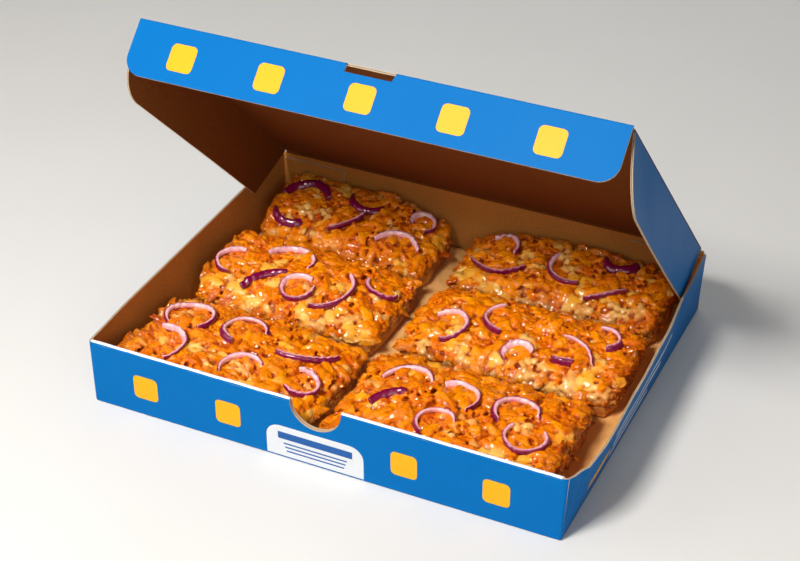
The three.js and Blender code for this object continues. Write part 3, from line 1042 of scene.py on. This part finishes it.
CHICKEN, CHEESE, NODULE, SLAB = range(4)
HEAP_SPACING = 3.9 * MM       # between the bits on top
DRIP_SPACING = 3.4 * MM       # between those on the cut sides
ONION_ROOM = 4.2 * MM         # beside a curl, where the heap is kept low
CUT_REACH = 7 * MM            # how far in from a middle cut the heap is drawn back
SIDE_REACH = 24 * MM          # how far in from a cut side the topping changes

# Half the length, width and thickness of a bit in millimetres: the least and the most.
CHEESE_SIZE = ((3.4, 6.6), (2.6, 4.4), (1.2, 2.0))
STRAND_SIZE = ((3.8, 8.5), (1.2, 1.8), (1.2, 1.8))
SLAB_SIZE = ((4, 10), (2.6, 4.4), (2.2, 3.2))
STRAND_SPREAD = ((0.65, 1.1), (0.8, 1.2), (0.8, 1.2))     # of one strand, beside its bundle's own
BUNDLE_CHANCE = 0.13
SLAB_CHANCE = 0.27            # where there is no bundle


def surface_samples(bm, spacing, wanted, rng):
    """Points spread over a mesh, no two nearer than spacing: (place, normal)."""
    triangles = [
        (face.calc_area(), [vert.co.copy() for vert in face.verts], face.normal.copy())
        for face in bm.faces if wanted(face.normal)
    ]
    weights = [area for area, _, _ in triangles]
    tries = int(sum(weights) / spacing ** 2 * 4)
    found = []
    cells = {}
    for _, corners, normal in rng.choices(triangles, weights=weights, k=tries):
        a, b = rng.random(), rng.random()
        if a + b > 1:
            a, b = 1 - a, 1 - b
        place = corners[0] + (corners[1] - corners[0]) * a + (corners[2] - corners[0]) * b
        key = tuple(int(value // spacing) for value in place)
        around = product(*((value - 1, value, value + 1) for value in key))
        if all((place - other).length > spacing for cell in around for other in cells.get(cell, ())):
            cells.setdefault(key, []).append(place)
            found.append((place, normal))
    return found


def inside_tray(point):
    """The nearest place to this point that is clear of the walls and of the shut lid's flaps."""
    back = BOX_BACK - 2 * BOARD - MM
    y = min(back, max(BOX_FRONT + FRONT_ROOM, point.y))
    share = (y - BOX_FRONT) / (BOX_BACK - BOX_FRONT)
    left = -HALF_WIDTH + LEFT_ROOM[0] + (LEFT_ROOM[1] - LEFT_ROOM[0]) * share
    return Vector((min(HALF_WIDTH - RIGHT_ROOM, max(left, point.x)), y, point.z))


def ball_form(subdivisions):
    """The points and faces of a unit ball, which every bit of topping is shaped from."""
    bm = bmesh.new()
    bmesh.ops.create_icosphere(bm, subdivisions=subdivisions, radius=1)
    points = [vert.co.copy() for vert in bm.verts]
    faces = np.array([[vert.index for vert in face.verts] for face in bm.faces])
    bm.free()
    return points, faces


BALLS = {"coarse": ball_form(1), "fine": ball_form(2), "finer": ball_form(3)}


def laid_along(heading, normal):
    """The heading turned into the surface, and the direction across it."""
    along = (heading - normal * heading.dot(normal)).normalized()
    return along, normal.cross(along)


def draw_size(rng, ranges):
    return tuple(rng.uniform(least, most) * MM for least, most in ranges)


class Heap:
    """Bits of topping gathered in one mesh, each with its kind and its own grain."""

    def __init__(self, rng):
        self.rng = rng
        self.points = []
        self.faces = []
        self.kinds = []

    def add(self, place, normal, heading, size, bend, rough, kind, form="fine"):
        """size is half the length, width and thickness; bend curls its length."""
        along, across = laid_along(heading, normal)
        points, faces = BALLS[form]
        seed = Vector([self.rng.uniform(0, 99) for _ in range(3)])
        self.faces.append(faces + len(self.points))
        for unit in points:
            swell = 1 + rough * noise.noise(unit * 1.7 + seed)
            x = size[0] * unit.x * (1 + 0.4 * rough * noise.noise(unit * 2.3 - seed))
            y = size[1] * (unit.y * swell + bend * unit.x ** 2)
            z = size[2] * unit.z * swell - 0.25 * abs(bend) * size[2] * unit.x ** 2
            self.points.append(inside_tray(place + along * x + across * y + normal * z))
            self.kinds.append((kind, place, along, across, normal))

    def add_bundle(self, place, normal, heading, bright):
        """Strands of meat lying side by side, with ragged ends."""
        rng = self.rng
        size = draw_size(rng, STRAND_SIZE)
        count = rng.choice((2, 3, 3, 4))
        bend = rng.gauss(0, 0.8)
        along, across = laid_along(heading, normal)
        for i in range(count):
            offset = i - (count - 1) / 2
            shift = across * offset * size[1] * 1.75 + along * rng.gauss(0, 0.22) * size[0]
            drop = normal * (-0.14 * offset ** 2 + rng.gauss(0, 0.18)) * size[2]
            strand = [half * rng.uniform(*spread) for half, spread in zip(size, STRAND_SPREAD)]
            turned = along + across * rng.gauss(0, 0.12)
            kind = (CHICKEN, clamped(bright + rng.gauss(0, 0.12)))
            self.add(place + shift + drop, normal, turned, strand, bend + rng.gauss(0, 0.25), 0.5, kind)

    def add_cluster(self, place, normal, sunk, bright):
        """A few small knobs of chicken close together."""
        rng = self.rng
        for _ in range(rng.choice((4, 5, 6))):
            radius = rng.uniform(0.9, 1.9) * MM
            size = (radius * rng.uniform(1, 1.7), radius, radius * rng.uniform(0.8, 1))
            around = Vector((rng.gauss(0, 1.7), rng.gauss(0, 1.7), 0)) * MM
            spot = place + around + normal * (sunk + rng.gauss(0.2, 0.6)) * MM
            turned = Vector((rng.gauss(0, 1), rng.gauss(0, 1), rng.gauss(0, 0.4)))
            kind = (CHICKEN, clamped(bright + rng.gauss(0, 0.2)))
            self.add(spot, normal, turned, size, rng.gauss(0, 0.3), 0.6, kind, "coarse")

    def finish(self, name, core, material):
        """One mesh of every bit and of the core that they lie on."""
        extra = [vert.co.copy() for vert in core.verts]
        core_faces = [[vert.index + len(self.points) for vert in face.verts] for face in core.faces]
        core.free()
        mesh = bpy.data.meshes.new(name)
        faces = [face for group in self.faces for face in group.tolist()]
        mesh.from_pydata(self.points + extra, [], faces + core_faces)
        mesh.materials.append(material)
        mesh.shade_smooth()
        return link_object(name, mesh)


def add_drips(heap, name, rng):
    """Beads, bits and cheese that hang down over the bread's cut sides."""
    base = cad_surface(f"crust_{name}")
    for place, normal in surface_samples(base, DRIP_SPACING, lambda normal: abs(normal.z) < 0.6, rng):
        depth = (TOPPING_LOW - place.z) / MM
        if rng.random() < 0.12 + 0.085 * depth:
            continue
        heading = Vector((normal.y, -normal.x, rng.gauss(0, 0.5)))
        bright = clamped(rng.gauss(0.4, 0.25))
        radius = rng.uniform(1.2, 2.3) * MM
        kind = rng.choices((NODULE, CHICKEN, CHEESE), weights=(5, 4, 2))[0]
        size = (radius * rng.uniform(1, 1.8), radius, radius * 0.8)
        heap.add(place - normal * 1.1 * MM, normal, heading, size, 0.2, 0.6, (kind, bright))
    base.free()


def topping_heap(name, rng):
    """Shredded chicken, melted cheese and small beads heaped over the slice's own form."""
    surface = cad_surface(f"topping_{name}")
    low, high = SLICE_BOXES[name]
    lines = [point for arc in ONIONS[name] for point in onion_line(arc)]
    cut_x = high.x if "left" in name else low.x
    inward = math.copysign(1, (low.x + high.x) / 2 - cut_x)
    heap = Heap(rng)

    def drawn_back(place):
        """1 at the slice's middle cut, where the heap is drawn back, falling to 0 away from it."""
        return max(0.0, 1 - abs(place.x - cut_x) / CUT_REACH)

    shift = Vector((rng.uniform(0, 9), rng.uniform(0, 9), 0))
    for place, normal in surface_samples(surface, HEAP_SPACING, lambda normal: normal.z > -0.2, rng):
        turn = 2.2 * math.pi * noise.noise(place * 30 + shift) + rng.gauss(0, 0.45)
        heading = Vector((math.cos(turn), math.sin(turn), 0.12 * rng.gauss(0, 1)))
        tilt = Vector((rng.gauss(0, 0.2), rng.gauss(0, 0.2), 0))
        normal = (normal + tilt).normalized()
        steep = normal.z < 0.5
        front = clamped(-normal.y * 2.2)
        if steep:
            place = place - normal * 1.8 * MM
        pull = drawn_back(place)
        place = place + Vector((inward * 2.4 * MM * pull, 0, -1.2 * MM * pull))
        hump = (2.6 * noise.noise(place * 42 + shift) + 1.7 * noise.noise(place * 120 - shift)) * (1 - pull)
        near_onion = any((place.x - u) ** 2 + (place.y - v) ** 2 < ONION_ROOM ** 2 for u, v in lines)
        sunk = -1.7 if near_onion else hump + rng.uniform(-0.9, 0.9)
        side = max(0.0, 1 - min(abs(place.x - cut_x), abs(place.y - low.y)) / SIDE_REACH)
        cheesy = noise.noise(place * 78 + shift * 2) + 0.08 * side + 0.28 * front - 0.36
        beaded = noise.noise(place * 75 - shift) + 0.08 * side + 0.34 * front - 0.48
        bright = clamped(rng.gauss(0.5, 0.25))
        if beaded > 0.1 or (steep and rng.random() < 0.2):
            radius = (rng.uniform(1.5, 2.6) + 0.5 * front) * MM
            size = (radius * rng.uniform(1, 1.5), radius, radius * 0.85)
            spot = place + normal * (sunk * 0.5 + 0.3 + 0.5 * front) * MM
            heap.add(spot, normal, heading, size, 0.1, 0.35, (NODULE, bright))
        elif cheesy > 0.12:
            size = draw_size(rng, CHEESE_SIZE)
            spot = place + normal * (sunk * 0.5 - 0.1) * MM
            heap.add(spot, normal, heading, size, 0.2, 0.5, (CHEESE, bright), "finer")
        elif rng.random() < BUNDLE_CHANCE:
            heap.add_bundle(place + normal * sunk * MM, normal, heading, bright)
        elif rng.random() < SLAB_CHANCE:
            size = draw_size(rng, SLAB_SIZE)
            spot = place + normal * (sunk + 0.5) * MM
            kind = (SLAB, min(1.0, bright + 0.2))
            heap.add(spot, normal, heading, size, rng.gauss(0, 0.3), 0.5, kind, "finer")
        else:
            heap.add_cluster(place, normal, sunk, bright)
    add_drips(heap, name, rng)
    for vert in surface.verts:
        if vert.co.z > TOPPING_LOW + 1.5 * MM:
            vert.co.z -= 1.4 * MM
        vert.co.x += inward * 1.8 * MM * drawn_back(vert.co)
    return heap, surface


def neighbours_mean(values, edges, counts):
    """Each point's mean over the points it is joined to."""
    total = np.zeros_like(values)
    for axis in range(values.shape[1]):
        for end, other in ((0, 1), (1, 0)):
            total[:, axis] += np.bincount(edges[:, end], values[edges[:, other], axis], len(values))
    return total / counts[:, None]


def mesh_edges(mesh):
    """The two ends of each edge, and how many edges meet at each point."""
    edges = np.empty(len(mesh.edges) * 2, dtype=np.int64)
    mesh.edges.foreach_get("vertices", edges)
    edges = edges.reshape(-1, 2)
    counts = np.bincount(edges.ravel(), minlength=len(mesh.vertices)).astype(float)
    return edges, np.maximum(counts, 1)


def read_vectors(items, key):
    values = np.empty(len(items) * 3)
    items.foreach_get(key, values)
    return values.reshape(-1, 3)


def places_and_normals(mesh):
    return read_vectors(mesh.vertices, "co"), read_vectors(mesh.vertex_normals, "vector")


def move_to(mesh, places):
    mesh.vertices.foreach_set("co", places.ravel())
    mesh.update()


def drop_crumbs(mesh):
    """Takes away whatever isn't joined to the main body."""
    edges = mesh_edges(mesh)[0].tolist()
    joined = [[] for _ in range(len(mesh.vertices))]
    for first, second in edges:
        joined[first].append(second)
        joined[second].append(first)
    group = [-1] * len(joined)
    sizes = []
    for start in range(len(joined)):
        if group[start] >= 0:
            continue
        group[start] = len(sizes)
        waiting = [start]
        size = 0
        while waiting:
            size += 1
            for other in joined[waiting.pop()]:
                if group[other] < 0:
                    group[other] = len(sizes)
                    waiting.append(other)
        sizes.append(size)
    main = sizes.index(max(sizes))
    bm = bmesh.new()
    bm.from_mesh(mesh)
    loose = [vert for vert in bm.verts if group[vert.index] != main]
    bmesh.ops.delete(bm, geom=loose, context="VERTS")
    bm.to_mesh(mesh)
    bm.free()


def melt(piece, voxel, rounds):
    """Fuses overlapping closed bits into one skin and softens it."""
    fuse = piece.modifiers.new("fuse", "REMESH")
    fuse.mode = "VOXEL"
    fuse.voxel_size = voxel
    apply_modifiers(piece)
    mesh = piece.data
    drop_crumbs(mesh)
    edges, counts = mesh_edges(mesh)
    places = read_vectors(mesh.vertices, "co")
    for _ in range(rounds):
        places += 0.5 * (neighbours_mean(places, edges, counts) - places)
    move_to(mesh, places)
    return edges, counts


def hollows(mesh, edges, counts, rounds, depth):
    """0 on open ground to 1 deep in a hollow: a mask for the topping's painted shade."""
    places, normals = places_and_normals(mesh)
    smooth = places.copy()
    for _ in range(rounds):
        smooth = neighbours_mean(smooth, edges, counts)
    return np.clip(((smooth - places) * normals).sum(1) / depth, 0, 1)


def make_topping(name, finish):
    """The heap melted into one skin, roughened bit by bit and marked for its finish."""
    heap, core = topping_heap(name, random.Random(f"topping {name}"))
    low, high = SLICE_BOXES[name]
    lookup = KDTree(len(heap.points))
    for index, point in enumerate(heap.points):
        lookup.insert(point, index)
    lookup.balance()
    kinds = heap.kinds
    piece = heap.finish(f"chicken_topping_{name}", core, finish)
    edges, counts = melt(piece, VOXEL, 3)
    mesh = piece.data
    cheese, bead, bright, toast, grain = [], [], [], [], []
    rim_x = low.x if "left" in name else high.x
    rim_y = {"front": low.y, "back": high.y}.get(name.split("_")[0])
    moved, normals = places_and_normals(mesh)
    for index in range(len(moved)):
        place = Vector(moved[index])
        _, nearest, _ = lookup.find(place)
        (kind, tone), centre, along, across, up = kinds[nearest]
        offset = place - centre
        u, v, w = offset.dot(along), offset.dot(across), offset.dot(up)
        seed = centre * 37
        if kind in (CHICKEN, SLAB):
            fibre = noise.noise(Vector((u * 130, v * 620, w * 620)) + seed)
            knob = noise.noise(place * 330) + 0.5 * noise.noise(place * 640)
            fine = 0.3 if kind == SLAB else 0.65
            moved[index] += normals[index] * (0.25 * fibre + fine * knob) * MM
        else:
            moved[index] += normals[index] * 0.22 * MM * noise.noise(place * 240)
        cheese.append(1.0 if kind in (CHEESE, NODULE) else 0.0)
        bead.append(1.0 if kind == NODULE else 0.0)
        bright.append(tone)
        grain.append((u, v, w))
        rim = abs(place.x - rim_x)
        if rim_y is not None:
            rim = min(rim, abs(place.y - rim_y))
        side = edge_distance(place.x, place.y, low, high)
        height = (place.z - TOPPING_LOW) / (12 * MM)
        foot = max(0.0, 1.1 - side / (6 * MM)) * max(0.0, 0.95 - height)
        toast.append(clamped(max(0.0, 0.7 - rim / (14 * MM)) + foot))
    move_to(mesh, np.array([inside_tray(Vector(place)) for place in moved]))
    # How deep each point lies in a narrow crevice and in a broad hollow: the masks for the painted shade.
    painted_crevice_shade = hollows(mesh, edges, counts, 14, 1.3 * MM)
    painted_valley_shade = hollows(mesh, edges, counts, 90, 3.2 * MM)
    cheese = np.array(cheese)[:, None]
    for _ in range(2):
        cheese = 0.5 * cheese + 0.5 * neighbours_mean(cheese, edges, counts)
    for label, values in (
        ("cheese", cheese), ("bead", bead), ("bright", bright),
        ("toast", toast), ("painted_crevice_shade", painted_crevice_shade), ("painted_valley_shade", painted_valley_shade),
    ):
        add_attribute(mesh, label, values)
    add_attribute(mesh, "grain", grain, "FLOAT_VECTOR", "vector")
    finish_piece(piece, "tray", "topping", f"topping_{name}")


def make_crust(name, finish):
    """Bread base: the CAD slab, made finer, with bubbles and rough cut sides."""
    bm = cad_surface(f"crust_{name}")
    piece = mesh_object(f"bread_base_{name}", bm, [finish], smooth=True)
    melt(piece, 1.5 * VOXEL, 1)
    mesh = piece.data
    places, normals = places_and_normals(mesh)
    low = places[:, 2].min()
    for index in range(len(places)):
        place = Vector(places[index])
        broad = noise.noise(place * 75)
        bubble = max(0.0, noise.noise(place * 190) - 0.1)
        rough = noise.noise(place * 420)
        share = min(1.0, (place.z - low) / (2 * MM))
        places[index] += normals[index] * (0.9 * broad + 1.0 * bubble + 0.35 * rough) * MM * share
    move_to(mesh, places)
    finish_piece(piece, "tray", "crust", f"crust_{name}")


# ---------- Putting it together ----------

add_camera()
add_lights()
add_floor(floor_finish())

blue = print_finish("blue_print", (0.001, 0.142, 0.43), (0.001, 0.11, 0.36))
kraft = kraft_finish("kraft_board", (0.60, 0.255, 0.05), (0.44, 0.165, 0.027))
# Painted shade: a darker copy of the kraft for the inside of the lid, its flaps and its creases, which lie
# in the open lid's shade.
painted_shade_kraft = kraft_finish("lid_kraft_painted_shade", (0.20, 0.062, 0.008), (0.14, 0.04, 0.005))
raw_edge, worn_fold = raw_edge_finish(), worn_fold_finish()
board_finishes = [blue, kraft, raw_edge, worn_fold]
# The lid's finishes, with the painted shade kraft on its inside.
lid_finishes_painted_shade = [blue, painted_shade_kraft, raw_edge, worn_fold]
yellow = ink_finish("yellow_ink", (0.86, 0.42, 0.002), (0.78, 0.36, 0.002))
white = ink_finish("white_ink", (0.72, 0.74, 0.76), (0.62, 0.65, 0.68))
deep_blue = ink_finish("deep_blue_ink", (0.01, 0.10, 0.36), (0.01, 0.08, 0.28))

make_tray(board_finishes)
make_lid(lid_finishes_painted_shade)
make_hinge_fold(lid_finishes_painted_shade)
for flap, way, splay in (("flap_left", -1, LEFT_SPLAY), ("flap_right", 1, RIGHT_SPLAY)):
    make_side_flap(flap, way, splay, lid_finishes_painted_shade)
    make_flap_crease(flap, way, lid_finishes_painted_shade)
add_print(yellow, white, deep_blue)
make_paper(paper_finish())

bread = crust_finish()
chicken = topping_finish()
red_onion = onion_finish()
for slice_name in SLICES:
    make_crust(slice_name, bread)
    make_topping(slice_name, chicken)
    for position, curl_arc in enumerate(ONIONS[slice_name], start=1):
        make_onion(slice_name, position, curl_arc, red_onion)
